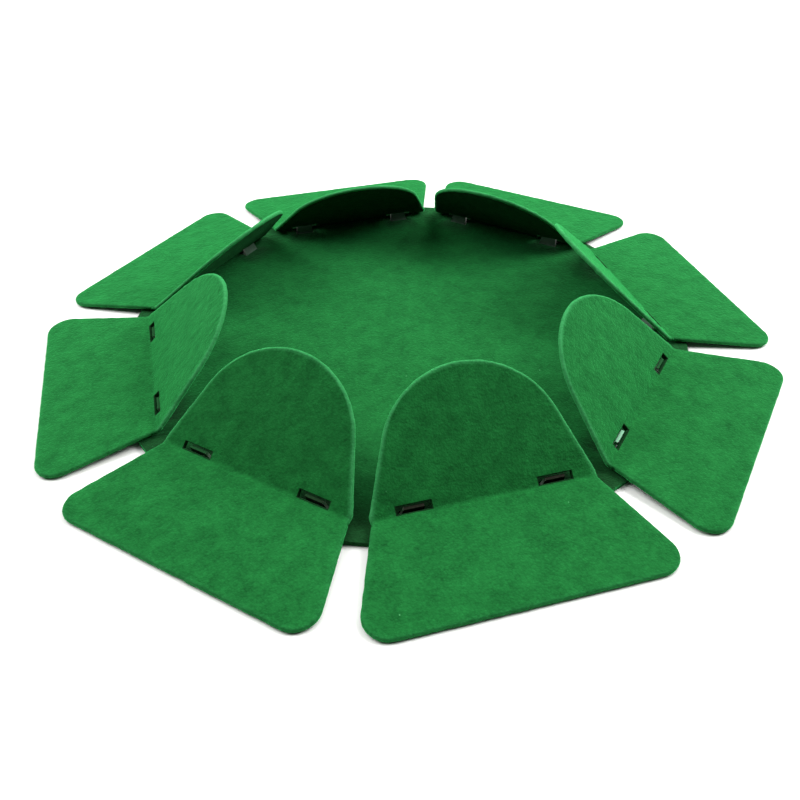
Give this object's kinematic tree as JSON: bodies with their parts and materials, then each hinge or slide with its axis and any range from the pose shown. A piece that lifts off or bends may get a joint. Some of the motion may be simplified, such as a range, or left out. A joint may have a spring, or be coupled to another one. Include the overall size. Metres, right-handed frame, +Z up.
{
  "type": "golf putting practice cup",
  "caption": "Round flat putting practice cup: a flocked steel disc ringed by bent flocked flaps; a ball rolls up a ramp, tips the raised tongue and drops onto the disc.",
  "frame": {"origin": "middle of the disc's underside, on the floor", "axes": "+Z up, along the axis that the flaps are spaced around; one flap points along +X, one along +Y"},
  "size_m": [0.2666, 0.2666, 0.0339],
  "materials": {
    "flock_top": "short-fibre flock, matte, upper faces and edges",
    "flock_under": "short-fibre flock, matte, undersides",
    "sheet_steel": "bare sheared mild steel"
  },
  "bodies": {
    "base": {"base_plate": "sheet_steel", "base_flock_top": "flock_top", "base_flock_under": "flock_under"},
    "flap_1": {"flap_1_plate": "sheet_steel", "flap_1_flock_top": "flock_top", "flap_1_flock_under": "flock_under"},
    "flap_2": {"flap_2_plate": "sheet_steel", "flap_2_flock_top": "flock_top", "flap_2_flock_under": "flock_under"},
    "flap_3": {"flap_3_plate": "sheet_steel", "flap_3_flock_top": "flock_top", "flap_3_flock_under": "flock_under"},
    "flap_4": {"flap_4_plate": "sheet_steel", "flap_4_flock_top": "flock_top", "flap_4_flock_under": "flock_under"},
    "flap_5": {"flap_5_plate": "sheet_steel", "flap_5_flock_top": "flock_top", "flap_5_flock_under": "flock_under"},
    "flap_6": {"flap_6_plate": "sheet_steel", "flap_6_flock_top": "flock_top", "flap_6_flock_under": "flock_under"},
    "flap_7": {"flap_7_plate": "sheet_steel", "flap_7_flock_top": "flock_top", "flap_7_flock_under": "flock_under"},
    "flap_8": {"flap_8_plate": "sheet_steel", "flap_8_flock_top": "flock_top", "flap_8_flock_under": "flock_under"}
  },
  "joints": [
    {"name": "flap_1_tip", "type": "hinge", "parent": "base", "child": "flap_1", "pos_m": [0.0941, 0, 0.00333], "axis": [0, -1, 0], "range_deg": [0, 46]},
    {"name": "flap_2_tip", "type": "hinge", "parent": "base", "child": "flap_2", "pos_m": [0.06654, 0.06654, 0.00333], "axis": [0.7071, -0.7071, 0], "range_deg": [0, 46]},
    {"name": "flap_3_tip", "type": "hinge", "parent": "base", "child": "flap_3", "pos_m": [0, 0.0941, 0.00333], "axis": [1, 0, 0], "range_deg": [0, 46]},
    {"name": "flap_4_tip", "type": "hinge", "parent": "base", "child": "flap_4", "pos_m": [-0.06654, 0.06654, 0.00333], "axis": [0.7071, 0.7071, 0], "range_deg": [0, 46]},
    {"name": "flap_5_tip", "type": "hinge", "parent": "base", "child": "flap_5", "pos_m": [-0.0941, 0, 0.00333], "axis": [0, 1, 0], "range_deg": [0, 46]},
    {"name": "flap_6_tip", "type": "hinge", "parent": "base", "child": "flap_6", "pos_m": [-0.06654, -0.06654, 0.00333], "axis": [-0.7071, 0.7071, 0], "range_deg": [0, 46]},
    {"name": "flap_7_tip", "type": "hinge", "parent": "base", "child": "flap_7", "pos_m": [0, -0.0941, 0.00333], "axis": [-1, 0, 0], "range_deg": [0, 46]},
    {"name": "flap_8_tip", "type": "hinge", "parent": "base", "child": "flap_8", "pos_m": [0.06654, -0.06654, 0.00333], "axis": [-0.7071, -0.7071, 0], "range_deg": [0, 46]}
  ]
}
